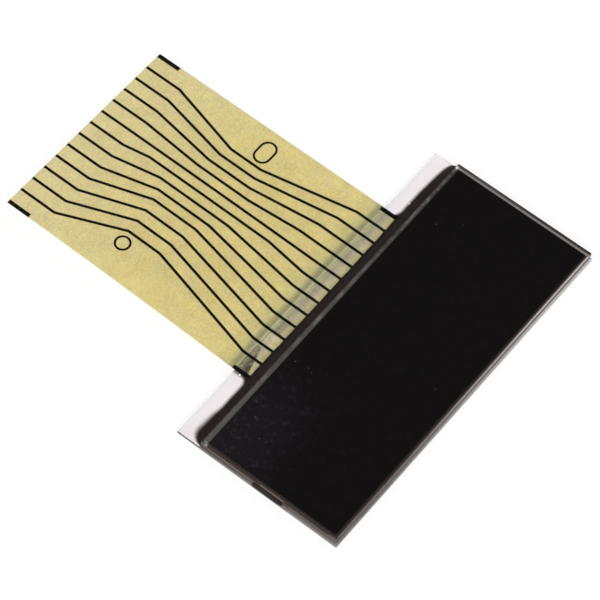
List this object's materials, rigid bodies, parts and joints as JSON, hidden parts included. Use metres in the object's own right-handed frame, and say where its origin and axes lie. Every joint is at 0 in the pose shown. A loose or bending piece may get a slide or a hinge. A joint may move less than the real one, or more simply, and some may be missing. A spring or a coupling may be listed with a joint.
{
  "type": "lcd screen",
  "caption": "Flat glass display panel with a contact ledge and a yellow connector film whose printed tracks narrow to a waist between the glass and the free end.",
  "frame": {"origin": "middle of the rear glass in plan, on the back face of the rear polarizer", "axes": "+X along the long side of the glass, +Y from the glass towards the connector film's free end, +Z out of the viewing face"},
  "size_m": [0.0589, 0.0704, 0.0025],
  "materials": {
    "polarizer": "near-black polarizing sheet with a soft hard-coat sheen",
    "glass": "clear soda-lime glass with scribed and lightly broken edges",
    "perimeter_seal": "thin printed epoxy ring",
    "port_resin": "dark cured resin, slightly glossy",
    "liquid_crystal": "thin dark fluid layer between the plates",
    "sealant": "dark brown-grey sealant, smooth and slightly glossy",
    "polyester_film": "see-through yellow polyester film with a finely mottled coating",
    "bond_adhesive": "thin clear grey-yellow bonding adhesive",
    "carbon_ink": "matt black carbon ink"
  },
  "bodies": {
    "root": {"rear_polarizer": "polarizer", "front_polarizer": "polarizer", "rear_glass": "glass", "front_glass": "glass", "edge_seal": "perimeter_seal", "end_seal": "port_resin", "liquid_crystal": "liquid_crystal", "sealant_bead": "sealant", "connector_film": "polyester_film", "bond_adhesive": "bond_adhesive", "track_01": "carbon_ink", "track_02": "carbon_ink", "track_03": "carbon_ink", "track_04": "carbon_ink", "track_05": "carbon_ink", "track_06": "carbon_ink", "track_07": "carbon_ink", "track_08": "carbon_ink", "track_09": "carbon_ink", "track_10": "carbon_ink", "track_11": "carbon_ink", "track_12": "carbon_ink", "index_bar_free_left": "carbon_ink", "index_bar_free_right": "carbon_ink", "index_bar_glass_left": "carbon_ink", "index_bar_glass_right": "carbon_ink", "oval_ring": "carbon_ink", "round_ring": "carbon_ink"}
  },
  "joints": []
}
